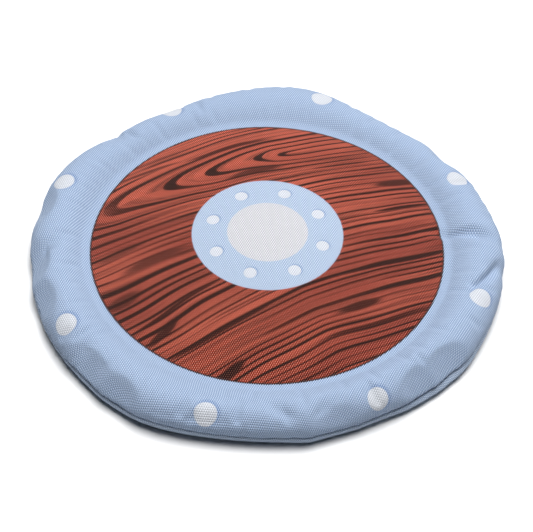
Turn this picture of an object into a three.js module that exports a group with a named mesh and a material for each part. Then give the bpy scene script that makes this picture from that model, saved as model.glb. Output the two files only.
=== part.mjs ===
// A child's soft round play shield: a flat stuffed disc with a printed cloth cover.
// The cover is two round panels of cloth sewn together low on the edge and filled
// with soft wadding. Each panel is one closed solid, taken with the wadding behind it.
// Millimetres, +Z up. The origin is the middle of the flat underside, on the ground.

import * as THREE from "three";

// ---------------------------------------------------------------- driving dimensions

const PRINT_RADIUS = 130; // edge of the printed boards on the top panel
const SEAM_RADIUS = 170.6; // where the two panels are sewn together
const SEAM_HEIGHT = 10.4;
const SEAM_GAP = 0.4; // kept between the two panels all over

const TOP_HEIGHT = 39; // middle of the crown
const PRINT_EDGE_HEIGHT = 20; // the cloth is lowest here, between the crown and the rim
const RIM_CREST_RADIUS = 151; // the stuffed rim is highest here
const RIM_CREST_HEIGHT = 27.5;
const LIP_RADIUS = 172; // widest place of the top panel, just above the seam
const LIP_HEIGHT = 11.6;

const BAND_RADIUS = 173; // the underside panel bulges out to here below the seam
const BAND_HEIGHT = 6.8;
const FOOT_RADIUS = 163; // the flat underside ends here

const SECTORS = 96; // facets around each panel
const CROWN_RINGS = 7; // facets from the middle to the edge of the print
const RISE_STEPS = 3; // facets from there up to the crest of the rim
const ROLL_STEPS = 7; // facets from the crest down to the lip
const TUCK_STEPS = 3; // facets from the widest place of the band in to the foot

// The edge is not a true circle: the wadding pushes the cloth out in some places and
// the gathered seam pulls it in at others. Degrees are counted from +X towards +Y,
// `spread` is the half width of the place and `out` is how far it stands out.
const EDGE_SWELLS = [
  { at: -126, spread: 14, out: 4.0 },
  { at: -82, spread: 16, out: -3.0 },
  { at: 4, spread: 13, out: 3.5 },
  { at: 46, spread: 9, out: -3.0 },
  { at: 83, spread: 12, out: 8.5 },
  { at: 118, spread: 7, out: -4.5 },
  { at: 134, spread: 7, out: -4.0 },
  { at: 160, spread: 15, out: 5.5 },
];

// Places where the soft rim is dented, at `radius` from the middle.
const RIM_DENTS = [
  { at: -177, radius: 163, spread: 6, depth: 3.5 },
  { at: 136, radius: 160, spread: 5, depth: 3.0 },
  { at: -4, radius: 158, spread: 5, depth: 2.5 },
  { at: -38, radius: 156, spread: 7, depth: 3.0 },
  { at: -71, radius: 158, spread: 7, depth: 2.5 },
  { at: -136, radius: 160, spread: 11, depth: 2.0 },
];
const DENT_REACH = 10; // half width of a dent along the radius

// ---------------------------------------------------------------- how the rim lies

const degrees = THREE.MathUtils.radToDeg;

/** A smooth bump: 1 at `middle`, fading to nothing a few `reach` away. */
function bump(value, middle, reach) {
  const away = (value - middle) / reach;
  return Math.exp(-0.5 * away * away);
}

/** The angle from `at` to `angle` the short way round, in degrees. */
function turnBetween(angle, at) {
  return THREE.MathUtils.euclideanModulo(angle - at + 180, 360) - 180;
}

/** How far the edge stands out from its circle at this angle. */
function edgeSwell(angle) {
  return EDGE_SWELLS.reduce((sum, swell) => {
    return sum + swell.out * bump(turnBetween(angle, swell.at), 0, swell.spread);
  }, 0);
}

/** How deep the rim is pressed in at this place. */
function rimDent(angle, radius) {
  return RIM_DENTS.reduce((sum, dent) => {
    const across = bump(turnBetween(angle, dent.at), 0, dent.spread);
    return sum + dent.depth * across * bump(radius, dent.radius, DENT_REACH);
  }, 0);
}

/** Gives a panel turned on a lathe the uneven edge and the dents of sewn cloth. */
function settle(geometry, dented) {
  const place = geometry.attributes.position;
  for (let i = 0; i < place.count; i += 1) {
    const radius = Math.hypot(place.getX(i), place.getY(i));
    if (radius === 0) continue;
    const angle = degrees(Math.atan2(place.getY(i), place.getX(i)));
    const share = THREE.MathUtils.smoothstep(radius, PRINT_RADIUS, SEAM_RADIUS);
    const scale = (radius + share * edgeSwell(angle)) / radius;
    const pressed = dented && place.getZ(i) > LIP_HEIGHT ? rimDent(angle, radius) : 0;
    place.setXYZ(i, place.getX(i) * scale, place.getY(i) * scale, place.getZ(i) - pressed);
  }
}

// ---------------------------------------------------------------- the two panels

/** The domed middle of the top panel, from the centre to the edge of the print. */
function crownProfile() {
  const drop = TOP_HEIGHT - PRINT_EDGE_HEIGHT;
  return Array.from({ length: CROWN_RINGS + 1 }, (_, i) => {
    const share = i / CROWN_RINGS;
    return new THREE.Vector2(PRINT_RADIUS * share, TOP_HEIGHT - drop * share * share);
  });
}

/** The inner slope of the rim, between the edge of the print and the rim's crest. */
function riseProfile() {
  return Array.from({ length: RISE_STEPS - 1 }, (_, i) => {
    const share = (i + 1) / RISE_STEPS;
    return new THREE.Vector2(
      THREE.MathUtils.lerp(PRINT_RADIUS, RIM_CREST_RADIUS, share),
      THREE.MathUtils.lerp(PRINT_EDGE_HEIGHT, RIM_CREST_HEIGHT, THREE.MathUtils.smoothstep(share, 0, 1)),
    );
  });
}

/** A quarter of an oval about `middle`, from straight above or below it out to its side. */
function quarterOval(middle, width, height, steps) {
  return Array.from({ length: steps + 1 }, (_, i) => {
    const turn = (Math.PI / 2) * (i / steps);
    return new THREE.Vector2(middle.x + width * Math.sin(turn), middle.y + height * Math.cos(turn));
  });
}

/** The roll of the rim, from its crest down to the lip. */
function rollProfile() {
  const middle = new THREE.Vector2(RIM_CREST_RADIUS, LIP_HEIGHT);
  const width = LIP_RADIUS - RIM_CREST_RADIUS;
  return quarterOval(middle, width, RIM_CREST_HEIGHT - LIP_HEIGHT, ROLL_STEPS);
}

/** The tuck of the band, from the edge of the foot out to its widest place. */
function tuckProfile() {
  const middle = new THREE.Vector2(FOOT_RADIUS, BAND_HEIGHT);
  return quarterOval(middle, BAND_RADIUS - FOOT_RADIUS, -BAND_HEIGHT, TUCK_STEPS);
}

/** Turns a profile of (radius, height) points into a solid that stands on +Z. */
function turned(profile) {
  return new THREE.LatheGeometry(profile, SECTORS).rotateX(Math.PI / 2);
}

/** The printed top panel, down to the seam. */
function printedTop() {
  const base = SEAM_HEIGHT + SEAM_GAP / 2;
  const upper = [...crownProfile(), ...riseProfile(), ...rollProfile()];
  const profile = [
    new THREE.Vector2(0, base),
    new THREE.Vector2(SEAM_RADIUS, base),
    ...upper.reverse(),
  ];
  const geometry = turned(profile);
  settle(geometry, true);
  return geometry;
}

/** The plain underside panel, from the seam to the flat foot. */
function underside() {
  const top = SEAM_HEIGHT - SEAM_GAP / 2;
  const profile = [
    new THREE.Vector2(0, 0),
    ...tuckProfile(),
    new THREE.Vector2(SEAM_RADIUS, top),
    new THREE.Vector2(0, top),
  ];
  const geometry = turned(profile);
  settle(geometry, false);
  return geometry;
}

/** A named piece of cloth with its colour. */
function piece(name, geometry, color) {
  const material = new THREE.MeshStandardMaterial({ color, roughness: 0.85, metalness: 0 });
  const mesh = new THREE.Mesh(geometry, material);
  mesh.name = name;
  return mesh;
}

const shield = new THREE.Group();
shield.name = "soft_round_shield";
shield.add(piece("printed_top", printedTop(), "#b1c6e3"));
shield.add(piece("underside_panel", underside(), "#93add2"));

export default shield;
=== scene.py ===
"""A child's soft round play shield lying flat: a stuffed disc with a printed canvas cover.

The cover is two round panels sewn together low on the edge. The top panel is printed
with wooden boards, a round boss and a rim with rivet heads. The underside is plain.
Everything is in metres with +Z up. The origin is the middle of the flat underside.
"""

import logging
import math
from dataclasses import dataclass
from enum import Enum

import bpy
import numpy as np
from mathutils import Matrix, Vector


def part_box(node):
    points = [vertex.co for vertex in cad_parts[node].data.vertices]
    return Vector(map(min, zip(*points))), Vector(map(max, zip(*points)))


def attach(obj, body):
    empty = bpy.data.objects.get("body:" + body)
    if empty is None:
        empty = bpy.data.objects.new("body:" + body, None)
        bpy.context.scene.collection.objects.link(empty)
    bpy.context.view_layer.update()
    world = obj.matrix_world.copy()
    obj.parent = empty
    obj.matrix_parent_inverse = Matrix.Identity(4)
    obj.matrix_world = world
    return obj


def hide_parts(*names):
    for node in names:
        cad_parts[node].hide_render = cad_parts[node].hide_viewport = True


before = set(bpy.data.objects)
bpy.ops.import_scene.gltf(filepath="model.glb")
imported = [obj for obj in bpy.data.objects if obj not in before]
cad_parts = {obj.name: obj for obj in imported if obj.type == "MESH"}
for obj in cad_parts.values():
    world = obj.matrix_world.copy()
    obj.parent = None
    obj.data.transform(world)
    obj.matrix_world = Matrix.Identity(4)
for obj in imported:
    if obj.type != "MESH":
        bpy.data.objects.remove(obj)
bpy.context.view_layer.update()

LOG = logging.getLogger("shield")
MM = 0.001
BODY = "root"
TOP_NODE = "printed_top"
UNDER_NODE = "underside_panel"
CLOTH_MAP = "cloth"  # UV map: where a point was on the flat cloth, in metres from its middle
OVAL_POINTS = 40  # more than enough: every outline is stepped evenly afterwards
STREAK_EDGE = (1.15, 0.55)  # a streak fades in from outside its oval to inside it
SOFTLY = {"interpolation_type": "SMOOTHSTEP"}  # a range that starts and ends softly
PLAIN_BLUE = "#aab8cb"  # the underside's cloth is a little greyer than the print's blue

Socket = bpy.types.NodeSocket
Grid = np.ndarray


# ------------------------------------------------------------------ small helpers


def linear(code: str) -> tuple[float, float, float, float]:
    """Turns an sRGB hex colour into the linear colour that a shader takes.

    Args:
        code: Six hex digits, with or without a leading #.

    Returns:
        Linear red, green, blue and an alpha of 1.
    """
    digits = code.lstrip("#")
    shares = [int(digits[i : i + 2], 16) / 255 for i in (0, 2, 4)]
    straight = [s / 12.92 if s <= 0.04045 else ((s + 0.055) / 1.055) ** 2.4 for s in shares]
    return (*straight, 1.0)


def smooth(value: Grid, start: float, end: float) -> Grid:
    """Rises smoothly from 0 at start to 1 at end."""
    share = np.clip((value - start) / (end - start), 0.0, 1.0)
    return share * share * (3.0 - 2.0 * share)


def bump(away: Grid) -> Grid:
    """A smooth hump: 1 where away is 0, and almost nothing past 3."""
    return np.exp(-0.5 * away * away)


def turn_between(angle: Grid, at: float) -> Grid:
    """The turn from at to angle the short way round, in degrees."""
    return (angle - at + 180.0) % 360.0 - 180.0


def between(rows: Grid, places: Grid) -> Grid:
    """Reads a table at places between its rows, along a smooth curve.

    Args:
        rows: The table.
        places: Row numbers, which needn't be whole.

    Returns:
        One row per place.
    """
    last = len(rows) - 1
    below = np.clip(np.floor(places).astype(int), 0, last - 1)
    share = (places - below).reshape(-1, *[1] * (rows.ndim - 1))
    before, start, end, after = (rows[np.clip(below + step, 0, last)] for step in (-1, 0, 1, 2))
    bend = 2 * before - 5 * start + 4 * end - after + share * (3 * (start - end) + after - before)
    return start + 0.5 * share * (end - before + share * bend)


def even_steps(points: Grid, step: float) -> Grid:
    """Spreads points evenly along a bent line.

    Args:
        points: The line's corners, one row each.
        step: The length from one point to the next.

    Returns:
        The new points, with both ends kept.
    """
    lengths = np.hypot(*np.diff(points, axis=0).T)
    travelled = np.concatenate([[0.0], np.cumsum(lengths)])
    count = max(2, math.ceil(travelled[-1] / step) + 1)
    places = np.linspace(0.0, travelled[-1], count)
    return np.stack([np.interp(places, travelled, points[:, k]) for k in (0, 1)], axis=1)


def oval(
    middle: tuple[float, float], size: tuple[float, float], turns: tuple[float, float]
) -> Grid:
    """Points on an oval arc.

    Args:
        middle: Radius and height of its centre.
        size: Half width and half height.
        turns: Start and end in degrees, from straight up towards the outside.

    Returns:
        The points, one row each.
    """
    turn = np.radians(np.linspace(*turns, OVAL_POINTS))
    across, up = size[0] * np.sin(turn), size[1] * np.cos(turn)
    return np.stack([middle[0] + across, middle[1] + up], axis=1)


def round_off(points: Grid, length: float) -> Grid:
    """Rounds the corners of an evenly stepped line, keeping its ends.

    Args:
        points: The line's points, one row each.
        length: How long a stretch each point is averaged over.

    Returns:
        The rounded line.
    """
    step = np.hypot(*(points[1] - points[0]))
    half = int(length / step / 2)
    window = np.hanning(2 * half + 3)[1:-1]
    window /= window.sum()
    reach = len(window) // 2
    mirrored = np.concatenate([
        2 * points[0] - points[reach:0:-1],
        points,
        2 * points[-1] - points[-2 : -reach - 2 : -1],
    ])
    return np.stack([np.convolve(mirrored[:, k], window, "valid") for k in (0, 1)], axis=1)


def ring_faces(rows: int, columns: int) -> tuple[Grid, Grid]:
    """The faces between rings of points, each ring joined to the next.

    Args:
        rows: How many rings.
        columns: How many points each ring has.

    Returns:
        The points' numbers, a row per ring, and the four corners of each face.
    """
    index = np.arange(rows * columns).reshape(rows, columns)
    following = np.roll(index, -1, axis=1)
    corners = [index[:-1], index[1:], following[1:], following[:-1]]
    return index, np.stack(corners, axis=-1).reshape(-1, 4)


# ------------------------------------------------------------------ how the cloth lies


@dataclass(frozen=True)
class Pucker:
    """A place where the gathered cloth is pulled in, or pushed out if depth is negative."""

    at: float  # degrees from +X towards +Y
    radius: float  # mm from the middle
    spread: float  # half width across it, in degrees
    reach: float  # half length along the radius, in mm
    depth: float  # mm
    lean: float = 0.0  # how much one side is steeper than the other
    swing: float = 0.0  # degrees that it veers over its reach

    def press(self, angle: Grid, radius: Grid) -> Grid:
        """How far the cloth is pulled in, in metres.

        Args:
            angle: Degrees round the shield.
            radius: Metres from the middle.

        Returns:
            The depth at each point.
        """
        along = (radius / MM - self.radius) / self.reach
        across = (turn_between(angle, self.at) - self.swing * along) / self.spread
        return self.depth * MM * bump(across) * (1.0 + self.lean * across) * bump(along)


@dataclass(frozen=True)
class Pull:
    """A stretch of the rim where its shape, or the cloth's pattern, differs."""

    at: float  # degrees from +X towards +Y
    spread: float  # half width in degrees
    amount: float  # in the unit that its list gives

    def share(self, angle: Grid) -> Grid:
        """The amount at each angle."""
        return self.amount * bump(turn_between(angle, self.at) / self.spread)


@dataclass(frozen=True)
class Facet:
    """A stretch of the rim that the gathered seam pulls nearly flat."""

    at: float  # degrees from +X towards +Y: the way that it faces
    start: float  # mm from the middle to its upper edge
    top: float  # mm from the ground to its upper edge
    slope: float  # degrees
    bow: float = 5.0  # how much it bows outwards: 1 is a plane
    edge: float = 2.0  # mm that its edge is rounded over
    facing: float = 0.8  # it has no hold on cloth that faces further away than this

    def draw_in(self, angle: Grid, radius: Grid, height: Grid) -> Grid:
        """How far the cloth is drawn in.

        Args:
            angle: Degrees round the shield.
            radius: Metres from the middle.
            height: Metres from the ground.

        Returns:
            The distance towards the middle at each point, in metres.
        """
        facing = np.cos(np.radians(turn_between(angle, self.at))) ** self.bow
        reach = self.start * MM + (self.top * MM - height) / math.tan(math.radians(self.slope))
        past = radius - reach / np.maximum(facing, self.facing)
        drawn = 0.5 * (past + np.hypot(past, self.edge * MM))
        return np.where(facing > self.facing, drawn, 0.0)


# The edge isn't a true circle: it swells out and is drawn in, in mm.
EDGE_SWELLS = (
    Pull(-160, 12, 2.0), Pull(-134, 9, 2.5), Pull(-120, 9, 4.4),
    Pull(-92, 10, -2.4), Pull(-79, 2.5, 1.3), Pull(-72, 4, -1.3),
    Pull(-61, 6, -3.6), Pull(-47, 6, -1.5), Pull(-36, 5, 0.8),
    Pull(4, 13, 3.5), Pull(51, 7, -2.6), Pull(64, 9, -3.6),
    Pull(83, 12, 8.5), Pull(95, 28, 1.6), Pull(118, 7, -4.5),
    Pull(134, 7, -4.0), Pull(160, 15, 5.5),
)

# The narrow band below the seam bulges out more in some places, in mm.
BAND_SWELLS = (
    Pull(-42, 12, 2.0), Pull(-97, 24, -1.4),
)

# The filling lies thinner under the rim's crest in some places, in mm.
CREST_DROPS = (
    Pull(-100, 15, 5.0), Pull(95, 32, 2.4), Pull(52, 18, 2.2),
)

# How much squarer the rim's shoulder is: 0 is a true oval, and 1 is square_shoulder's curve.
SHOULDERS = (
    Pull(-97, 17, 2.2), Pull(-60, 6, 0.4), Pull(-27, 8, 0.5),
    Pull(-150, 6, -0.4),
)

# The gathers draw the printed rim round by a few degrees.
PATTERN_PULLS = (
    Pull(76, 20, 2.2), Pull(29, 12, -2.0), Pull(-17, 18, -1.4),
    Pull(-104, 20, 2.4), Pull(-149, 18, 1.8), Pull(160, 18, -4.1),
)

# The printed rim is drawn outwards over the edge less at the back, in mm.
PATTERN_SLIPS = (
    Pull(118, 16, 4.5), Pull(75, 12, 1.5), Pull(29, 16, 5.0),
    Pull(-17, 12, 2.5),
)

# The creases and soft dents of the rim that show most.
PUCKERS = (
    Pucker(-176.5, 159, 2.2, 7, 2.8, lean=-0.9, swing=1.5),
    Pucker(136, 166, 1.8, 12, 2.6),
    Pucker(139, 158, 4.5, 8, 1.6),
    Pucker(5.0, 149, 1.7, 13, 5.0, lean=0.9, swing=-1.6),
    Pucker(12, 168, 1.3, 6, 1.4),
    Pucker(16, 168, 1.2, 6, 1.3),
    Pucker(20, 167, 1.4, 7, 1.4),
    Pucker(-9.0, 160, 1.9, 6, 3.2, lean=-0.9, swing=4.0),
    Pucker(-4.0, 167, 2.0, 6, 3.0, lean=-0.9, swing=1.0),
    Pucker(-14, 150, 1.8, 7, 1.6, lean=0.5, swing=2.0),
    Pucker(-45, 151, 8.0, 5, -2.0),
    Pucker(-73, 152, 7.0, 5, -1.2),
    Pucker(-76.5, 163, 1.7, 7, 2.2, lean=0.7, swing=-1.5),
    Pucker(-84, 161, 2.2, 7, 2.2, lean=-0.6, swing=2.0),
    Pucker(-103, 160, 8.0, 4.5, -1.0),
    Pucker(-139, 164, 1.6, 8, 1.3, lean=-0.9),
    Pucker(-131, 165, 1.6, 7, 1.0, lean=-0.9),
    Pucker(60, 168, 3.0, 8, 0.5),
    Pucker(50, 166, 2.5, 7, 0.5),
)

# The flat stretches of the rim.
FACETS = (
    Facet(-40.5, 157.5, 28, 52.5), Facet(-49, 157, 28, 53), Facet(-71.5, 159, 28, 53),
    Facet(-126, 163.5, 28, 53), Facet(-136.5, 161, 28, 51), Facet(-160.5, 160.5, 28, 52),
    Facet(-173, 159, 28, 51), Facet(168, 163, 27, 52), Facet(38, 160, 25, 50),
)


def total(pulls: tuple[Pull, ...], angle: Grid) -> Grid:
    """What a list's pulls add up to at each angle."""
    return sum(pull.share(angle) for pull in pulls)


@dataclass(frozen=True)
class ShieldForm:
    """The stuffed disc's cross-section and the way that its edge wanders. Metres."""

    print_radius: float = 130 * MM
    print_edge_height: float = 20 * MM
    crest_radius: float = 154 * MM
    crest_height: float = 27.2 * MM  # before the cloth is puffed up
    shoulder: float = 0.5  # how soon the rim slopes away: 0.5 is a true oval
    square_shoulder: float = 0.3  # the same for a shoulder that is drawn squarer
    valley_round: float = 9 * MM  # the cloth is rounded off over this length
    lip_radius: float = 172 * MM
    lip_height: float = 11.6 * MM
    lip_round: float = 0.9 * MM  # radius of the lip's roll into the seam
    seam_radius: float = 170.6 * MM
    seam_depth: float = 2.6 * MM  # how far the groove at the seam goes in
    seam_gap: float = 0.3 * MM  # from the seam's middle to each panel
    tuck_height: float = 0.45 * MM  # from the seam's middle to the end of the lip's roll
    band_radius: float = 171.6 * MM
    band_height: float = 6.8 * MM
    band_round: float = 2.2 * MM  # half width of the band's roll into the seam
    band_top: float = 0.4 * MM  # from the seam's middle to the top of that roll
    foot_radius: float = 163 * MM
    foot_blend: float = 1 * MM  # the flat foot ends this far inside that
    columns: int = 720
    crown_step: float = 3.2 * MM  # how far apart the rows of points are on the crown,
    foot_step: float = 6 * MM  # under the foot
    rim_step: float = 0.9 * MM  # and on the rim
    rim_start: float = 118 * MM  # where the crown's rows end

    gather_count: tuple[int, ...] = (61, 83, 97, 127, 149)  # small gathers round the seam
    gather_seed: int = 5
    gather_depth: float = 0.22 * MM
    gather_height: float = 4 * MM  # they fade out over this height
    gather_reach: float = 14 * MM  # they start this far in from the seam
    gather_full: float = 2 * MM  # and are at their deepest from here on
    wave_count: tuple[int, ...] = (3, 5, 8, 13)
    wave_seed: int = 11
    seam_wave: float = 0.5 * MM  # how far the seam wanders up and down
    band_middle: float = 0.7  # the band bulges most at this share of band_height
    band_spread: float = 2 * MM
    seam_alike: float = 1.3 * MM  # the cloth is drawn in alike up to here above the seam
    foot_share: float = 0.4  # how much of the drawing in still reaches the foot
    press_level: float = 3 * MM  # this near the seam, a pucker is pressed straight in
    hold_reach: float = 8 * MM  # the seam holds the cloth this far in
    seam_hold: float = 0.45  # how much of a pucker's pull the seam takes up
    band_press: float = 0.6  # how much of the rest the band below it follows

    @property
    def top_height(self) -> float:
        """The height of the crown's middle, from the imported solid."""
        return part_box(TOP_NODE)[1].z

    @property
    def seam_height(self) -> float:
        """The height of the seam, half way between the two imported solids."""
        return (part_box(TOP_NODE)[0].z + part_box(UNDER_NODE)[1].z) / 2

    def crown(self, share: Grid) -> Grid:
        """Radius and height on the domed middle, for shares of the print's radius."""
        drop = self.top_height - self.print_edge_height
        return np.stack([self.print_radius * share, self.top_height - drop * share**2], axis=1)

    def board_radius(self) -> float:
        """How far out the printed boards reach on the flat cloth."""
        line = self.crown(np.linspace(0.0, 1.0, 200))
        return float(np.hypot(*np.diff(line, axis=0).T).sum())

    def angles(self) -> Grid:
        """Each column's angle round the shield, in degrees."""
        return np.arange(self.columns) * (360.0 / self.columns)

    def swell(self, angle: Grid) -> Grid:
        """How far the edge stands out from its circle."""
        return total(EDGE_SWELLS, angle) * MM

    def ripple(self, angle: Grid, counts: tuple[int, ...], seed: int) -> Grid:
        """An uneven ripple round the shield, about 1 high.

        Args:
            angle: Degrees round the shield.
            counts: How many waves each part of the ripple has.
            seed: Which ripple.

        Returns:
            The ripple at each angle.
        """
        chance = np.random.default_rng(seed)
        turn = np.radians(angle)
        waves = [np.cos(count * turn + chance.uniform(0, math.tau)) for count in counts]
        return sum(waves) / math.sqrt(len(counts))

    def settle(self, radius: Grid, height: Grid) -> tuple[Grid, Grid, Grid]:
        """Gives a panel's smooth section the uneven edge of a stuffed, sewn cover.

        Args:
            radius: The section's distances from the middle, along its length.
            height: The section's heights.

        Returns:
            Angle in degrees, radius and height, each with a row per point of the section
            and a column per angle.
        """
        angle = self.angles()[None, :]
        r, z = radius[:, None], height[:, None]
        near_seam = bump((z - self.seam_height) / self.gather_height)
        starts, full = self.seam_radius - self.gather_reach, self.seam_radius - self.gather_full
        near_seam = near_seam * smooth(r, starts, full)
        gather = self.gather_depth * self.ripple(angle, self.gather_count, self.gather_seed)
        wave = self.seam_wave * self.ripple(angle, self.wave_count, self.wave_seed)
        rise = self.crest_height - self.lip_height
        out = np.clip((r - self.crest_radius) / (self.lip_radius - self.crest_radius), 0.0, 1.0)
        out = np.where(z > self.lip_height, 1.0 - out**2, 0.0)
        squarer = rise * (out**self.square_shoulder - out**self.shoulder)
        z = z + squarer * total(SHOULDERS, angle)
        fall = total(CREST_DROPS, angle) * MM * smooth(r, self.print_radius, self.crest_radius)
        z = z - fall * np.clip((z - self.lip_height) / rise, 0.0, 1.0)
        share = smooth(r, self.print_radius, self.seam_radius)
        band = bump((z - self.band_middle * self.band_height) / self.band_spread)
        band = share * band * (z < self.seam_height)
        r = r + band * total(BAND_SWELLS, angle) * MM
        r = r + share * self.swell(angle) - near_seam * gather
        return np.broadcast_to(angle, r.shape), r, z + near_seam * wave

    def pull_flat(self, ring: Grid, angle: Grid) -> Grid:
        """How far the flat stretches of the rim are drawn in.

        The two sides of the seam are drawn in alike, and the band below it less and less.

        Args:
            ring: Rows of points of a panel's outside.
            angle: Degrees round the shield, one per column.

        Returns:
            The distance towards the middle at each point.
        """
        near_seam = ring[..., 2] < self.seam_height + self.seam_alike
        lip = self.lip_radius + self.swell(angle)
        radius = np.where(near_seam, lip, np.hypot(ring[..., 0], ring[..., 1]))
        height = np.maximum(ring[..., 2], self.seam_height)
        drawn = np.zeros_like(radius)
        for facet in FACETS:
            drawn += facet.draw_in(angle, radius - drawn, height)
        return drawn * smooth(ring[..., 2], -self.foot_share * self.seam_height, self.seam_height)

    def press(self, radius: Grid, height: Grid) -> tuple[Grid, Grid]:
        """How the creases and dents move the cloth.

        Both panels are drawn in alike at the seam, straight towards the middle, so that
        they stay joined there.

        Args:
            radius: The section's distances from the middle, along its length.
            height: The section's heights.

        Returns:
            The change in radius and in height, a row per point and a column per angle.
        """
        slope = np.stack([np.gradient(radius), np.gradient(height)])
        slope = slope / np.maximum(np.hypot(*slope), 1e-9)
        angle = self.angles()[None, :]
        r, z = radius[:, None], height[:, None]
        below = z < self.seam_height
        level = np.maximum(bump((z - self.seam_height) / self.press_level), below)
        depth = sum(p.press(angle, np.where(below, self.seam_radius, r)) for p in PUCKERS)
        held = smooth(r, self.seam_radius - self.hold_reach, self.seam_radius)
        depth = depth * (1.0 - self.seam_hold * held)
        depth = depth * np.where(below, self.band_press * smooth(z, 0.0, self.seam_height), 1.0)
        inwards = (1.0 - level) * np.abs(slope[1][:, None]) + level
        downwards = (1.0 - level) * slope[0][:, None]
        return -inwards * depth, -downwards * depth


@dataclass(frozen=True)
class Stuffing:
    """Puffs the top panel up: its cloth is simulated under pressure from its flat cut.

    The flat cut is larger round than the seam that it is sewn to, so the cloth buckles
    into soft gathers on its way down to the seam.
    """

    inner_radius: float = 95 * MM  # nearer the middle the wadding holds the cloth flat
    row_stride: int = 4  # every fourth row of the section is simulated
    columns: int = 240
    frames: int = 20
    pressure: float = 4.0
    tension: float = 80.0
    squash: float = 80.0
    bending: float = 10.0
    mass: float = 0.1  # kg for each point of the coarse cloth
    enlarged: float = 60.0  # the cloth is simulated larger, because small cloth is stiff
    spare: float = 0.02  # how much longer than the flat cut the cloth is taken to be
    damping: float = 1.0
    bending_damping: float = 0.1
    quality: int = 8
    firm_radius: float = 136 * MM  # the wadding holds the cloth firmly out to here
    free_radius: float = 152 * MM  # and not at all from here on
    most: float = 4.5 * MM  # no point moves further than this

    def rows(self, radius: Grid) -> Grid:
        """Which rows of the section are simulated: the last one and every few before it."""
        first = int(np.argmax(radius > self.inner_radius))
        return np.array([*range(first, len(radius), self.row_stride)[:-1], len(radius) - 1])

    def cloth(self, points: Grid, flat: Grid, radius: Grid) -> bpy.types.Object:
        """Makes the coarse cloth that is simulated, with its flat cut as its rest shape.

        Args:
            points: Where the cloth is, as rows of columns of points.
            flat: Where each point was on the flat cloth.
            radius: Each row's distance from the middle.

        Returns:
            The cloth.
        """
        index, faces = ring_faces(*points.shape[:2])
        mesh = bpy.data.meshes.new("cloth")
        mesh.from_pydata(points.reshape(-1, 3).tolist(), [], faces.tolist())
        cloth = bpy.data.objects.new("cloth", mesh)
        bpy.context.scene.collection.objects.link(cloth)
        cloth.shape_key_add(name="sewn")
        cut = cloth.shape_key_add(name="flat cut")
        cut.data.foreach_set("co", flat.reshape(-1, 3).ravel())
        held = cloth.vertex_groups.new(name="held")
        weights = 1.0 - smooth(radius, self.firm_radius, self.free_radius)
        weights[-1] = 1.0  # sewn down
        for row, weight in zip(index, weights):
            held.add(row.tolist(), float(weight), "REPLACE")
        return cloth

    def puff(self, points: Grid, flat: Grid, radius: Grid) -> Grid:
        """Simulates the cloth.

        Args:
            points: Where the cloth starts, as rows of columns of points.
            flat: Where each point was on the flat cloth.
            radius: Each row's distance from the middle.

        Returns:
            How far each point has moved.
        """
        cloth = self.cloth(points * self.enlarged, flat * self.enlarged, radius)
        modifier = cloth.modifiers.new("puff", "CLOTH")
        rules = modifier.settings
        rules.quality = self.quality
        rules.mass = self.mass
        rules.shrink_min = -self.spare
        for kind, stiffness, damping in (
            ("tension", self.tension, self.damping),
            ("compression", self.squash, self.damping),
            ("shear", self.squash, self.damping),
            ("bending", self.bending, self.bending_damping),
        ):
            setattr(rules, f"{kind}_damping", damping)
            setattr(rules, f"{kind}_stiffness", stiffness)
            setattr(rules, f"{kind}_stiffness_max", stiffness)
        rules.use_pressure = True
        rules.uniform_pressure_force = self.pressure
        rules.vertex_group_mass = "held"
        rules.rest_shape_key = cloth.data.shape_keys.key_blocks["flat cut"]
        rules.effector_weights.gravity = 0.0
        modifier.collision_settings.use_collision = False
        modifier.point_cache.frame_start = 1
        modifier.point_cache.frame_end = self.frames
        scene = bpy.context.scene
        for moment in range(1, self.frames + 1):
            scene.frame_set(moment)
        settled = cloth.evaluated_get(bpy.context.evaluated_depsgraph_get()).data
        places = np.empty(points.size, dtype=np.float32)
        settled.vertices.foreach_get("co", places)
        moved = places.reshape(points.shape) / self.enlarged - points
        scene.frame_set(1)
        mesh = cloth.data
        bpy.data.objects.remove(cloth)
        bpy.data.meshes.remove(mesh)
        length = np.linalg.norm(moved, axis=-1, keepdims=True)
        LOG.info("the cloth moved up to %.1f mm", length.max() / MM)
        return moved * np.tanh(length / self.most) / np.maximum(length / self.most, 1e-9)

    def settle(self, points: Grid, flat: Grid, radius: Grid) -> Grid:
        """Puffs a panel's outer part and leaves its middle where it is.

        Args:
            points: The panel's outside, as rows of columns of points.
            flat: Where each point was on the flat cloth.
            radius: The section's distances from the middle, one per row.

        Returns:
            The points after puffing.
        """
        rows = self.rows(radius)
        stride = points.shape[1] // self.columns
        moved = self.puff(points[rows][:, ::stride], flat[rows][:, ::stride], radius[rows])
        finer_rows = np.interp(np.arange(rows[0], rows[-1] + 1), rows, np.arange(len(rows)))
        moved = between(moved, finer_rows)
        wrapped = np.concatenate([moved[:, -2:], moved, moved[:, :3]], axis=1).swapaxes(0, 1)
        moved = between(wrapped, 2 + np.arange(points.shape[1]) / stride).swapaxes(0, 1)
        puffed = points.copy()
        puffed[rows[0] : rows[-1] + 1] += moved
        return puffed


# ------------------------------------------------------------------ finishes


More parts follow.
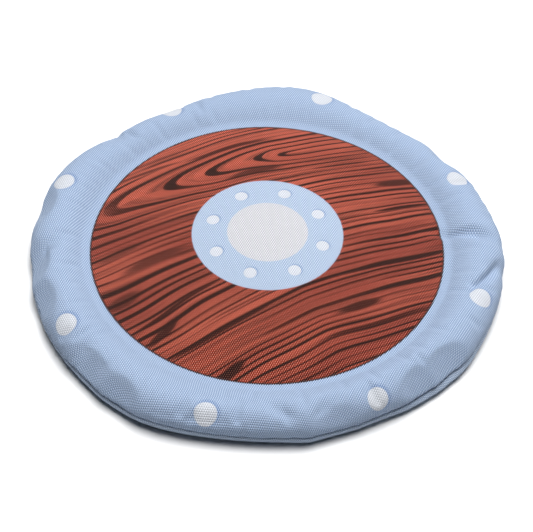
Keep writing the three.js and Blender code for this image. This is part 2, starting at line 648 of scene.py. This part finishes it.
class Recipe:
    """A material being made: it holds the node tree and adds nodes to it."""

    def __init__(self, name: str) -> None:
        """Starts an empty material.

        Args:
            name: The material's name.
        """
        self.material = bpy.data.materials.new(name)
        self.material.use_nodes = True
        self.tree = self.material.node_tree
        self.tree.nodes.clear()

    def add(self, kind: str, *values: object, out: int | str = 0, **settings: object) -> Socket:
        """Adds one node with its settings and links.

        Args:
            kind: The node's type, without the leading ShaderNode. What a maths node does
                may follow it after a colon.
            values: One per input in order: a socket to link, a plain value, a hex colour,
                or None to skip. A dictionary gives inputs by name or number.
            out: The output that is returned.
            settings: Properties of the node. `stops` are a ramp's two hex colours, and
                `points` are a curve's corners, its ends first.

        Returns:
            The chosen output socket, or None for a node without outputs.
        """
        kind, _, operation = kind.partition(":")
        node = self.tree.nodes.new("ShaderNode" + kind)
        if operation:
            node.operation = operation
        for index, code in enumerate(settings.pop("stops", ())):
            node.color_ramp.elements[index].color = linear(code)
        for index, corner in enumerate(settings.pop("points", ())):
            corners = node.mapping.curves[0].points
            if index < 2:
                corners[index].location = corner
            else:
                corners.new(*corner)
        for key, setting in settings.items():
            setattr(node, key, setting)
        places: list[tuple[int | str, object]] = []
        for index, value in enumerate(values):
            places += value.items() if isinstance(value, dict) else [(index, value)]
        for place, value in places:
            if isinstance(value, Socket):
                self.tree.links.new(value, node.inputs[place])
            elif value is not None:
                plain = linear(value) if isinstance(value, str) else value
                node.inputs[place].default_value = plain
        return node.outputs[out] if node.outputs else None


@dataclass(frozen=True)
class Canvas:
    """Woven polyester canvas: coarse round threads that catch the light in slanting rows.

    It is matt with a faint sheen at grazing angles, and the ink sits darker in the gaps
    between the threads than on their crowns. The gaps are also painted a little darker,
    as painted shade between the threads.
    """

    warp_pitch: float = 0.824 * MM  # thread spacing across the cloth
    weft_pitch: float = 1.60 * MM  # spaced wider, so the weave shows as slanting rows
    weft_skew: float = 0.113  # the weft is drawn off square by this share
    thread_bump: float = 0.34 * MM  # height from the gaps to the crowns
    painted_gap_shade: float = 0.08  # painted shade: how much darker the gaps are painted than the crowns
    slub_shade: float = 0.08  # how much one stretch of thread differs from the next
    slub_rate: float = 0.3  # slubs for each weft thread
    thin_ink: float = 0.45  # how thick the ink lies on the crowns,
    thick_ink: float = 2.2  # and in the gaps
    roughness: float = 0.7  # typical of woven polyester
    gloss: float = 0.12  # far below a smooth plastic's 0.5, as threads scatter the light
    sheen: float = 0.02
    sheen_roughness: float = 0.5

    def weave(self, recipe: Recipe, place: Socket) -> Socket:
        """Which thread lies on top: 1 where the warp does and -1 where the weft does.

        Args:
            recipe: The material.
            place: The place on the flat cloth, in metres.

        Returns:
            The weave at each place.
        """
        add = recipe.add
        x = add("SeparateXYZ", place)
        y = add("Math:MULTIPLY_ADD", x, self.weft_skew, x.node.outputs["Y"])
        warp = add("Math:SINE", add("Math:MULTIPLY", x, math.pi / self.warp_pitch))
        weft = add("Math:SINE", add("Math:MULTIPLY", y, math.pi / self.weft_pitch))
        return add("Math:MULTIPLY", warp, weft)

    def finish(
        self, recipe: Recipe, colour: Socket | str, place: Socket, play: Socket | float
    ) -> bpy.types.Material:
        """Ends the material: the weave shades the colour and raises the surface.

        Args:
            recipe: The material.
            colour: The dyed or printed colour.
            place: The place on the flat cloth, in metres.
            play: How much the ink's thickness varies between the gaps and the crowns.

        Returns:
            The finished material.
        """
        add = recipe.add
        woven = self.weave(recipe, place)
        crown = add("Math:MULTIPLY_ADD", woven, 0.5, 0.5)
        scale = self.slub_rate / self.weft_pitch
        slub = add(
            "TexNoise", {"Vector": place, "Scale": scale, "Detail": 3.0}, noise_dimensions="2D"
        )
        # painted shade: the gaps between the threads are painted darker than the crowns, and the
        # slubs then vary it at random
        shade = add("Math:MULTIPLY_ADD", crown, self.painted_gap_shade, 1.0 - self.painted_gap_shade)
        uneven = add("Math:MULTIPLY_ADD", slub, self.slub_shade, 1.0 - self.slub_shade / 2)
        shade = add("Math:MULTIPLY", shade, uneven)
        extra = add("MapRange", crown, 0.0, 1.0, self.thick_ink - 1.0, self.thin_ink - 1.0)
        inked = add("Gamma", colour, add("Math:MULTIPLY_ADD", extra, play, 1.0))
        raised = add("Math:ABSOLUTE", woven)
        surface = {
            "Base Color": add("VectorMath:SCALE", {0: inked, 3: shade}),
            "Roughness": self.roughness,
            "Specular IOR Level": self.gloss,
            "Sheen Weight": self.sheen,
            "Sheen Roughness": self.sheen_roughness,
            "Normal": add("Bump", {"Distance": self.thread_bump, "Height": raised}),
        }
        add("OutputMaterial", add("BsdfPrincipled", surface))
        return recipe.material


@dataclass(frozen=True)
class Streak:
    """A dark streak in the printed boards: a long soft oval. Lengths in print radii."""

    along: float  # its middle, counted along the grain from the shield's middle
    across: float
    half_length: float
    half_width: float
    strength: float
    turn: float = 0.0  # degrees off the grain

    def shade(self, recipe: Recipe, laid: Socket) -> Socket:
        """How dark the streak is at each place.

        Args:
            recipe: The material.
            laid: The place, along and across the grain.

        Returns:
            A share from 0 to its strength.
        """
        middle = (self.along, self.across, 0.0)
        tilt = -math.radians(self.turn)
        turned = recipe.add(
            "VectorRotate", {"Vector": laid, "Center": middle, "Angle": tilt}, rotation_type="Z_AXIS"
        )
        away = recipe.add("VectorMath:SUBTRACT", turned, middle)
        away = recipe.add("VectorMath:DIVIDE", away, (self.half_length, self.half_width, 1.0))
        reach = recipe.add("VectorMath:LENGTH", away, out="Value")
        return recipe.add("MapRange", reach, *STREAK_EDGE, 0.0, self.strength, **SOFTLY)


STREAKS = tuple(
    Streak(*row)
    for row in (
        (0.60, -0.435, 0.42, 0.021, 1.0),
        (0.58, -0.60, 0.28, 0.012, 0.8),
        (0.24, -0.655, 0.15, 0.030, 0.75),
        (0.30, -0.785, 0.42, 0.012, 0.7),
        (-0.50, -0.43, 0.38, 0.019, 0.85),
        (-0.80, -0.25, 0.13, 0.030, 0.8, 16),
        (-0.58, -0.68, 0.11, 0.036, 0.9, 10),
        (0.12, 0.775, 0.30, 0.022, 0.6),
        (-0.38, 0.79, 0.24, 0.016, 0.5),
        (0.68, 0.48, 0.30, 0.026, 0.25, -6),
        (0.66, 0.41, 0.22, 0.011, 0.85),
        (0.90, 0.18, 0.16, 0.035, 0.7),
        (0.84, -0.045, 0.22, 0.015, 0.95),
        (0.16, 0.495, 0.20, 0.030, 0.55),
        (-0.66, -0.17, 0.30, 0.010, 0.8),
        (-0.78, 0.24, 0.16, 0.035, 0.35),
        (-0.63, 0.09, 0.22, 0.030, 0.5),
        (-0.90, -0.02, 0.12, 0.030, 0.5),
    )
)


@dataclass(frozen=True)
class Noise:
    """A soft random pattern laid over the grain."""

    size: tuple[float, float, float]  # how fast it changes along, across and by side
    detail: float


@dataclass(frozen=True)
class BoardGrain:
    """Printed wooden boards: a slanting grain with one nested, pointed figure.

    Lengths are in print radii. The grain is the cut through a log's rings: straight lines
    away from the figure, and pointed ovals where the figure's middle line is met.
    """

    slope: float = 27.0  # degrees that the grain climbs from +X
    figure_across: float = 0.60  # where the pointed figure's middle line lies
    # Where along its middle line the figure's points lie, and how many rings deep.
    figure_points: tuple[tuple[float, float], ...] = (
        (-0.70, 4.6),
        (-0.32, 3.6),
        (-0.07, 2.6),
        (0.23, 1.6),
        (0.37, 0.6),
        (0.52, 0.0),
    )
    rings: float = 24.0  # rings per print radius across the grain
    wander: float = 0.06  # how far the grain strays from straight
    wander_rate: float = 1.6  # how often it does so in a print radius
    lower_to_upper: tuple[float, float] = (-0.35, 0.15)  # across the grain
    fan: float = 0.12  # how the grain steepens towards the lower left
    flatten: float = 0.05  # how it flattens towards the upper right
    painted_light_slope: tuple[float, float, float] = (0.05, 0.16, 0.0)  # painted light: the boards are painted lighter this way and duller the other, for the sheen and light across them
    light: str = "#b25a44"
    dull: str = "#904030"
    line: str = "#4d1b10"
    darkest: str = "#2b1009"
    deepest: float = 0.6  # how dark a place is where it has the line's full colour
    spacing: Noise = Noise((0.12, 0.42, 7.0), 1.0)  # what spaces the lines unevenly,
    strong: Noise = Noise((0.55, 0.42, 5.0), 2.0)  # makes them strong or faint,
    broad: Noise = Noise((0.9, 0.20, 3.0), 2.0)  # varies the ground between them
    fine: Noise = Noise((1.4, 2.6, 1.0), 3.0)  # and draws the short fibres
    loose: float = 1.5  # how many rings' width a line may stray
    line_start: float = -0.1  # where in a ring its line lies
    line_edge: tuple[float, float] = (-0.02, 0.06)  # in rings
    figure_edge: tuple[float, float] = (0.02, 0.12)  # the figure's own lines end over this
    figure_width: float = 0.35  # where in a ring the figure's lines start,
    thin: float = 0.40  # and where the other lines do, if faint
    thick: float = 0.29  # or strong
    thickening: tuple[float, float] = (0.38, 0.62)  # the noise from a faint line to a strong one
    strengthening: tuple[float, float] = (0.41, 0.53)  # the same for how dark it is
    faint_line: float = 0.3
    tip_fade: tuple[float, float] = (-0.75, -0.4)  # the outermost tip is faint
    faint_tip: float = 0.4
    fibre_range: tuple[float, float] = (0.48, 0.72)  # the noise from no fibre to a full one
    fibre_shade: float = 0.5
    ground_range: tuple[float, float] = (0.32, 0.68)  # the painted light slope plus the noise, from dull to light
    streaks: tuple[Streak, ...] = STREAKS

    def lay_out(self, recipe: Recipe, spot: Socket) -> Socket:
        """Turns a place on the print into along and across the bent grain.

        Args:
            recipe: The material.
            spot: The place on the print, in print radii.

        Returns:
            The place along and across the grain.
        """
        add = recipe.add
        slope = -math.radians(self.slope)
        turned = add("VectorRotate", {"Vector": spot, "Angle": slope}, rotation_type="Z_AXIS")
        along = add("SeparateXYZ", turned)
        across = along.node.outputs["Y"]
        upper = add("MapRange", across, *self.lower_to_upper)
        flat = add("Math:MULTIPLY", add("Math:MULTIPLY", upper, self.flatten), along)
        left = add("Math:MINIMUM", along, 0.0)
        lower = add("Math:MULTIPLY_ADD", upper, self.fan, -self.fan)
        fanned = add("Math:MULTIPLY_ADD", lower, left, flat)
        wander = {"Vector": turned, "Scale": self.wander_rate, "Detail": 1.0}
        wander = add("TexNoise", wander, noise_dimensions="2D")
        wander = add("Math:MULTIPLY_ADD", wander, self.wander, -self.wander / 2)
        return add("CombineXYZ", along, add("Math:ADD", across, add("Math:ADD", fanned, wander)))

    def rings_at(self, recipe: Recipe, laid: Socket) -> Socket:
        """How many of the log's rings lie between the figure's heart and each place.

        Args:
            recipe: The material.
            laid: The place along and across the grain.

        Returns:
            The count of rings.
        """
        add = recipe.add
        along = add("SeparateXYZ", laid)
        (first, depth), (last, _) = self.figure_points[0], self.figure_points[-1]
        span = last - first
        corners = [((place - first) / span, rings / depth) for place, rings in self.figure_points]
        ends_first = (corners[0], corners[-1], *corners[1:-1])
        share = add("MapRange", along, first, last, 0.0, 1.0)
        figure = add("Math:MULTIPLY", add("FloatCurve", {"Value": share}, points=ends_first), depth)
        beyond = add("MapRange", along, first - 1.0, first, depth / span, 0.0)
        figure = add("Math:ADD", figure, beyond)
        side = add("Math:SUBTRACT", along.node.outputs["Y"], self.figure_across)
        side = add("Math:MULTIPLY", side, self.rings)
        square = add("Math:MULTIPLY_ADD", side, side, add("Math:MULTIPLY", figure, figure))
        return add("Math:SQRT", square)

    def colour(self, recipe: Recipe, spot: Socket) -> Socket:
        """The boards' colour.

        Args:
            recipe: The material.
            spot: The place on the print, in print radii.

        Returns:
            The colour at each place.
        """
        add = recipe.add
        laid = self.lay_out(recipe, spot)
        along = add("SeparateXYZ", laid)
        aside = add("Math:SUBTRACT", along.node.outputs["Y"], self.figure_across)
        rings = self.rings_at(recipe, laid)
        ringed = add("CombineXYZ", along, rings, add("Math:SIGN", aside))
        spacing, strong, broad, fine = (
            add(
                "TexNoise",
                {"Vector": add("VectorMath:MULTIPLY", ringed, noise.size), "Scale": 1.0,
                 "Detail": noise.detail},
            )
            for noise in (self.spacing, self.strong, self.broad, self.fine)
        )
        # 0 on the figure's middle line, where its tips are drawn evenly, and 1 away from it
        spread = add("MapRange", add("Math:ABSOLUTE", aside), *self.figure_edge)
        stray = add("Math:MULTIPLY_ADD", spacing, self.loose, -self.loose / 2)
        count = add("Math:ADD", add("Math:MULTIPLY", stray, spread), rings)
        wave = add("Math:PINGPONG", add("Math:ADD", count, self.line_start), 0.5)
        narrow = add("MapRange", strong, *self.thickening, self.thin, self.thick)
        narrow = add("MapRange", spread, 0.0, 1.0, self.figure_width, narrow)
        line = add("MapRange", add("Math:SUBTRACT", wave, narrow), *self.line_edge, **SOFTLY)
        power = add("MapRange", strong, *self.strengthening, self.faint_line, 1.0)
        tips = add("MapRange", along, *self.tip_fade, self.faint_tip, 1.0)
        power = add("MapRange", spread, 0.0, 1.0, tips, power)
        fibre = add("MapRange", fine, *self.fibre_range, 0.0, self.fibre_shade)
        dark = add("Math:MAXIMUM", add("Math:MULTIPLY", line, power), fibre)
        for streak in self.streaks:
            dark = add("Math:MAXIMUM", dark, streak.shade(recipe, laid))
        # painted light: a slope across the boards, lighter one way, plus random tone from the broad
        # noise
        painted_light_and_tone = add("VectorMath:DOT_PRODUCT", laid, self.painted_light_slope, out="Value")
        painted_light_and_tone = add("MapRange", add("Math:ADD", painted_light_and_tone, broad), *self.ground_range)
        colour = add("ValToRGB", painted_light_and_tone, stops=(self.dull, self.light))
        for start, end, code in ((0.0, self.deepest, self.line), (self.deepest, 1.0, self.darkest)):
            share = add("MapRange", dark, start, end)
            colour = add("Mix", {0: share, 6: colour, 7: code}, out=2, data_type="RGBA")
        return colour


@dataclass(frozen=True)
class ShieldPrint:
    """The picture on the top panel. Lengths in print radii unless said otherwise."""

    boss_radius: float = 0.421
    centre_radius: float = 0.224
    boss_rivets_at: float = 0.318
    boss_rivet_radius: float = 0.036
    rim_rivets_at: float = 1.268
    rim_rivet_radius: float = 0.063
    rivet_count: int = 8
    first_rivet: float = 118.8  # degrees
    rivet_soft: float = 0.07  # how soft a rivet's edge is, in its own radius
    shadow_offset: float = 0.12  # its shadow lies this far up and right, in its own radius
    shadow_size: float = 1.12
    shadow_soft: float = 0.20
    shadow_strength: float = 0.5
    outline: float = 0.009  # the dark line round the boards
    edge_soft: float = 0.003  # how far the ink spreads at an edge
    edge_ragged: float = 0.003  # the threads leave the ink's edge jagged by this much
    blue: str = "#9cacc3"
    boss_blue: str = "#a7b5c8"  # the boss is a shade lighter than the rim
    centre: str = "#c0c0c4"
    rivet: str = "#c5c8ce"
    rivet_shadow: str = "#7087ad"
    outline_colour: str = "#3e2421"
    pale_play: float = 0.7  # pale inks vary less in thickness than the boards' browns
    grain: BoardGrain = BoardGrain()

    def draw(
        self, recipe: Recipe, place: Socket, board_radius: float, woven: Socket
    ) -> tuple[Socket, Socket]:
        """The whole picture: boards, boss, centre and rivet heads on a blue ground.

        Args:
            recipe: The material.
            place: The place on the flat cloth, in metres.
            board_radius: How far out the boards reach on the flat cloth, in metres.
            woven: Which thread lies on top, from -1 to 1.

        Returns:
            The colour at each place, and how much the ink's thickness varies there.
        """
        add = recipe.add
        spot = add("VectorMath:MULTIPLY", place, (1 / board_radius, 1 / board_radius, 0.0))
        reach = add("VectorMath:LENGTH", spot, out="Value")
        ragged = add("Math:MULTIPLY_ADD", woven, self.edge_ragged, reach)
        boards = self.grain.colour(recipe, spot)
        colour: Socket | str = self.blue
        play: Socket | float = self.pale_play
        for radius, inner, inner_play in (
            (1.0, self.outline_colour, 1.0),
            (1.0 - self.outline, boards, 1.0),
            (self.boss_radius, self.boss_blue, self.pale_play),
            (self.centre_radius, self.centre, self.pale_play),
        ):
            edge = (radius + self.edge_soft, radius - self.edge_soft)
            inside = add("MapRange", ragged, *edge, **SOFTLY)
            colour = add("Mix", {0: inside, 6: colour, 7: inner}, out=2, data_type="RGBA")
            play = add("Mix", {0: inside, 2: play, 3: inner_play})
        colour = self.rivets(recipe, colour, spot, self.boss_rivets_at, self.boss_rivet_radius)
        colour = self.rivets(recipe, colour, spot, self.rim_rivets_at, self.rim_rivet_radius)
        return colour, play

    def rivets(self, recipe: Recipe, under: Socket, spot: Socket, at: float, size: float) -> Socket:
        """A ring of printed rivet heads, each with a soft shadow round its upper right.

        Args:
            recipe: The material.
            under: The colour below them.
            spot: The place on the print, in print radii.
            at: How far out the ring is.
            size: The radius of a rivet head.

        Returns:
            The colour with the rivets on it.
        """
        add = recipe.add
        step = math.tau / self.rivet_count
        first = math.radians(self.first_rivet)
        x = add("SeparateXYZ", spot)
        angle = add("Math:ARCTAN2", x.node.outputs["Y"], x)
        near = add("Math:SNAP", add("Math:SUBTRACT", angle, first - step / 2), step)
        near = add("Math:ADD", near, first)
        across = add("Math:MULTIPLY", add("Math:COSINE", near), at)
        up = add("Math:MULTIPLY", add("Math:SINE", near), at)
        middle = add("CombineXYZ", across, up)
        offset = self.shadow_offset * size
        colour = under
        for moved, radius, soft, strength, code in (
            (offset, self.shadow_size, self.shadow_soft, self.shadow_strength, self.rivet_shadow),
            (0.0, 1.0, self.rivet_soft, 1.0, self.rivet),
        ):
            centre = add("VectorMath:ADD", middle, (moved, moved, 0.0))
            away = add("VectorMath:DISTANCE", spot, centre, out="Value")
            edge = ((radius + soft) * size, (radius - soft) * size)
            share = add("MapRange", away, *edge, 0.0, strength, **SOFTLY)
            colour = add("Mix", {0: share, 6: colour, 7: code}, out=2, data_type="RGBA")
        return colour


class CoverCloth(Enum):
    """The two cloths of the cover."""

    PRINTED = "printed polyester canvas"
    PLAIN = "dyed polyester canvas"

    def make(self, board_radius: float) -> bpy.types.Material:
        """Makes the cloth's material.

        Args:
            board_radius: How far out the printed boards reach on the flat cloth, in metres.

        Returns:
            The material.
        """
        recipe = Recipe(self.value)
        canvas, picture = Canvas(), ShieldPrint()
        place = recipe.add("UVMap", uv_map=CLOTH_MAP)
        if self is CoverCloth.PLAIN:
            return canvas.finish(recipe, PLAIN_BLUE, place, picture.pale_play)
        colour, play = picture.draw(recipe, place, board_radius, canvas.weave(recipe, place))
        return canvas.finish(recipe, colour, place, play)


# ------------------------------------------------------------------ the two panels


class Panel:
    """One round panel of the cover with the wadding behind it, as a closed mesh."""

    name = "panel"
    node = ""
    slot = ""
    kind = CoverCloth.PLAIN
    side = 1  # 1 above the seam and -1 below it
    stuffing: Stuffing | None = None
    inner_rings = 6  # rings of points on the hidden face behind the seam
    print_slack = 25 * MM  # past the boards, the print gives way to the gathers over this

    def __init__(self, form: ShieldForm) -> None:
        """Keeps the shield's sizes."""
        self.form = form

    def section(self) -> Grid:
        """The outside of the panel, from its middle to the bottom of the seam's groove."""
        raise NotImplementedError

    def inner_height(self) -> float:
        """The height of the face that the wadding is cut off at, behind the seam."""
        return self.form.seam_height + self.side * self.form.seam_gap

    def build(self) -> bpy.types.Object:
        """Makes the panel's mesh with its cloth map.

        Returns:
            The finished piece.
        """
        form, points = self.form, self.section()
        outside = len(points)
        inner = np.linspace(points[-1][0], 0.0, self.inner_rings + 2)[1:-1]
        face = np.stack([inner, np.full(len(inner), self.inner_height())], axis=1)
        points = np.concatenate([points, face])
        angle, radius, height = form.settle(points[:, 0], points[:, 1])
        height = height.copy()
        groove, level = height[outside - 1], height[outside:].mean(axis=0)
        height[outside:] = np.linspace(groove, level, len(inner))
        turn = np.radians(angle[1:])
        out = np.stack([np.cos(turn), np.sin(turn)], axis=-1)
        ring = np.concatenate([out * radius[1:, :, None], height[1:, :, None]], axis=-1)
        middle = np.array([[0.0, 0.0, points[0][1]], [0.0, 0.0, self.inner_height()]])
        along = np.cumsum(np.hypot(np.diff(radius, axis=0), np.diff(height, axis=0)), axis=0)
        if self.stuffing:
            rolled = int(np.argmin(points[:, 1] > form.lip_height))
            cut = np.concatenate([out, np.zeros_like(out[..., :1])], axis=-1) * along[..., None]
            reach = points[1 : rolled + 1, 0]
            ring[:rolled] = self.stuffing.settle(ring[:rolled], cut, reach)
        cloth, outwards = ring[: outside - 1], out[: outside - 1]
        cloth[..., :2] -= form.pull_flat(cloth, angle[0])[..., None] * outwards
        pressed_r, pressed_z = form.press(points[:outside, 0], points[:outside, 1])
        cloth[..., :2] += pressed_r[1:, :, None] * outwards
        cloth[..., 2] += pressed_z[1:]
        return self.mesh(ring, middle, self.lay_print(angle[1:], along))

    def lay_print(self, angle: Grid, along: Grid) -> Grid:
        """Where each point was on the flat cloth, with the print drawn along by the gathers.

        Args:
            angle: Degrees round the shield.
            along: How far each point is from the middle, measured along the cloth.

        Returns:
            The place on the flat cloth, in metres.
        """
        edge = self.form.board_radius()
        past = smooth(along, edge, edge + self.print_slack)
        turned = np.radians(angle) - np.radians(total(PATTERN_PULLS, angle)) * past
        slipped = along + total(PATTERN_SLIPS, angle) * MM * past
        return np.stack([slipped * np.cos(turned), slipped * np.sin(turned)], axis=-1)

    def mesh(self, ring: Grid, middle: Grid, flat: Grid) -> bpy.types.Object:
        """Joins the rings of points into a closed mesh.

        Args:
            ring: Rows of points from the middle of the outside to the middle of the inside.
            middle: The outer and the inner middle point.
            flat: Each ring point's place on the flat cloth.

        Returns:
            The piece.
        """
        index, faces = ring_faces(*ring.shape[:2])
        first = index.size  # the outer middle point's number, with the inner one's after it
        fans = [
            np.stack([np.full(len(start), hub), start, end], axis=1)
            for hub, start, end in (
                (first, index[0], np.roll(index[0], -1)),
                (first + 1, np.roll(index[-1], -1), index[-1]),
            )
        ]
        if self.side < 0:  # its outside faces down, so its corners run the other way round
            faces = faces[:, ::-1]
            fans = [fan[:, ::-1] for fan in fans]
        points = np.concatenate([ring.reshape(-1, 3), middle])
        mesh = bpy.data.meshes.new(self.name)
        faces = faces.tolist() + [face for fan in fans for face in fan.tolist()]
        mesh.from_pydata(points.tolist(), [], faces)
        mesh.shade_smooth()
        places = np.concatenate([flat.reshape(-1, 2), np.zeros((2, 2))])
        corners = np.empty(len(mesh.loops), dtype=np.int32)
        mesh.loops.foreach_get("vertex_index", corners)
        cloth_map = mesh.uv_layers.new(name=CLOTH_MAP)
        cloth_map.data.foreach_set("uv", places[corners].astype(np.float32).ravel())
        mesh.validate()
        piece = bpy.data.objects.new(self.name, mesh)
        bpy.context.scene.collection.objects.link(piece)
        return piece

    def dress(self, piece: bpy.types.Object) -> None:
        """Gives the piece its cloth."""
        piece.data.materials.append(self.kind.make(self.form.board_radius()))

    def place(self) -> bpy.types.Object:
        """Builds and dresses the panel and puts it in the frame.

        Returns:
            The piece.
        """
        piece = self.build()
        self.dress(piece)
        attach(piece, BODY)
        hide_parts(self.node)
        LOG.info("%s: %d faces", piece.name, len(piece.data.polygons))
        return piece


class PrintedTop(Panel):
    """The printed top panel, from the crown over the rim to the seam."""

    name = "printed_cover"
    node = TOP_NODE
    slot = "printed_cloth"
    kind = CoverCloth.PRINTED
    stuffing = Stuffing()
    draft_step = 0.5 * MM  # how finely the outline is drawn before it is rounded off
    draft_points = 60

    def section(self) -> Grid:
        """The crown, the rise to the rim's crest, the roll down to the lip and the tuck.

        Returns:
            Radius and height, one row per point.
        """
        f = self.form
        share = np.linspace(0.0, 1.0, self.draft_points)
        reach = f.print_radius + (f.crest_radius - f.print_radius) * share[1:]
        lift = f.print_edge_height + (f.crest_height - f.print_edge_height) * smooth(share[1:], 0, 1)
        rise = np.stack([reach, lift], axis=1)
        out = np.sin(np.radians(np.linspace(2, 90, self.draft_points)))
        reach = f.crest_radius + (f.lip_radius - f.crest_radius) * out
        lift = f.lip_height + (f.crest_height - f.lip_height) * (1.0 - out**2) ** f.shoulder
        roll = np.stack([reach, lift], axis=1)
        main = even_steps(np.concatenate([f.crown(share), rise, roll]), self.draft_step)
        main = round_off(main, f.valley_round)
        main = main[main[:, 1] > f.lip_height + f.seam_gap]
        curl = (f.lip_radius - f.lip_round, f.lip_height)
        curl = oval(curl, (f.lip_round, f.lip_round), (90, 170))
        tuck = [
            [f.seam_radius, f.seam_height + f.tuck_height],
            [f.seam_radius - f.seam_depth, f.seam_height + f.seam_gap],
        ]
        main = np.concatenate([main, curl, tuck])
        crown = main[main[:, 0] < f.rim_start]
        rim = main[len(crown) - 1 :]
        return np.concatenate([even_steps(crown, f.crown_step)[:-1], even_steps(rim, f.rim_step)])


class UndersidePanel(Panel):
    """The plain underside panel, from the seam round the band to the flat foot."""

    name = "underside_cover"
    node = UNDER_NODE
    slot = "plain_cloth"
    side = -1

    def section(self) -> Grid:
        """The flat foot, the band that curves up past its widest place, and the tuck.

        Returns:
            Radius and height, one row per point.
        """
        f = self.form
        foot = np.array([[0.0, 0.0], [f.foot_radius - f.foot_blend, 0.0]])
        widest = (f.band_radius - f.foot_radius, f.band_height)
        tuck = oval((f.foot_radius, f.band_height), widest, (180, 90))
        roll = (f.band_round, f.seam_height - f.band_height - f.band_top)
        roll = oval((f.band_radius - f.band_round, f.band_height), roll, (90, 15))
        groove = [[f.seam_radius - f.seam_depth, f.seam_height - f.seam_gap]]
        band = np.concatenate([foot[1:], tuck, roll, groove])
        return np.concatenate([even_steps(foot, f.foot_step)[:-1], even_steps(band, f.rim_step)])


# ------------------------------------------------------------------ floor, light, camera


@dataclass
class Studio:
    """A plain white floor, a big soft light overhead and a camera. Metres and degrees."""

    floor_size: float = 6.0
    floor_drop: float = 0.5 * MM
    floor_colour: str = "#dcdcdc"
    floor_roughness: float = 0.9
    floor_gloss: float = 0.1
    sky: float = 0.03
    sky_colour: str = "#cfe0ff"  # the surround is a little bluer than the lamp
    key_power: float = 150.0
    key_size: float = 2.0
    key_place: tuple[float, float, float] = (0.25, 0.38, 2.5)
    elevation: float = 46.98
    roll: float = -1.544
    distance: float = 1.560
    aim: tuple[float, float] = (0.0008, 0.0256)  # how far the crown is right of and above the aim
    view_width: float = 14.18  # the horizontal angle of view

    def floor(self) -> None:
        """Lays the floor just under the shield."""
        half, z = self.floor_size / 2, -self.floor_drop
        mesh = bpy.data.meshes.new("floor")
        corners = [(-half, -half, z), (half, -half, z), (half, half, z), (-half, half, z)]
        mesh.from_pydata(corners, [], [(0, 1, 2, 3)])
        recipe = Recipe("white matt floor paint")  # it shows soft shadows and no reflections
        surface = {
            "Base Color": self.floor_colour,
            "Roughness": self.floor_roughness,
            "Specular IOR Level": self.floor_gloss,
        }
        recipe.add("OutputMaterial", recipe.add("BsdfPrincipled", surface))
        mesh.materials.append(recipe.material)
        floor = bpy.data.objects.new("floor", mesh)
        bpy.context.scene.collection.objects.link(floor)

    def light(self) -> None:
        """Sets a faint even surround and hangs the soft light."""
        world = bpy.data.worlds.new("white surround")
        world.use_nodes = True
        background = world.node_tree.nodes["Background"].inputs
        background["Color"].default_value = linear(self.sky_colour)
        background["Strength"].default_value = self.sky
        bpy.context.scene.world = world
        lamp = bpy.data.lights.new("overhead softbox", "AREA")
        lamp.energy = self.key_power
        lamp.size = self.key_size
        holder = bpy.data.objects.new("overhead softbox", lamp)
        holder.location = self.key_place
        holder.rotation_euler = (-Vector(self.key_place)).to_track_quat("-Z", "Y").to_euler()
        bpy.context.scene.collection.objects.link(holder)

    def camera(self, crown: Vector) -> None:
        """Sets the camera.

        Args:
            crown: The highest point of the shield, which the aim is counted from.
        """
        tilt, roll = math.radians(self.elevation), math.radians(self.roll)
        back = Vector((0.0, -math.cos(tilt), math.sin(tilt)))
        right = Vector((1.0, 0.0, 0.0))
        axes = Matrix((right, back.cross(right), back))
        axes = Matrix.Rotation(roll, 3, "Z") @ axes
        seen = Vector((*self.aim, -self.distance))
        place = crown - axes.transposed() @ seen
        lens = bpy.data.cameras.new("camera")
        lens.sensor_fit = "HORIZONTAL"
        lens.angle = math.radians(self.view_width)
        lens.clip_start = 0.05
        holder = bpy.data.objects.new("camera", lens)
        holder.matrix_world = Matrix.Translation(place) @ axes.transposed().to_4x4()
        bpy.context.scene.collection.objects.link(holder)
        bpy.context.scene.camera = holder

    def set_up(self, crown: Vector) -> None:
        """Makes the floor, the light and the camera."""
        self.floor()
        self.light()
        self.camera(crown)
        bpy.context.scene.view_settings.view_transform = "Standard"


def write_sizes() -> None:
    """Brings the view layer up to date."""
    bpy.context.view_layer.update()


def main() -> None:
    """Builds the two panels and the studio, and reports each piece."""
    logging.basicConfig(level=logging.INFO, format="%(name)s: %(message)s")
    form = ShieldForm()
    cover = PrintedTop(form).place()
    base = UndersidePanel(form).place()
    Studio().set_up(Vector((0.0, 0.0, form.top_height)))
    write_sizes()


if __name__ == "__main__":
    main()
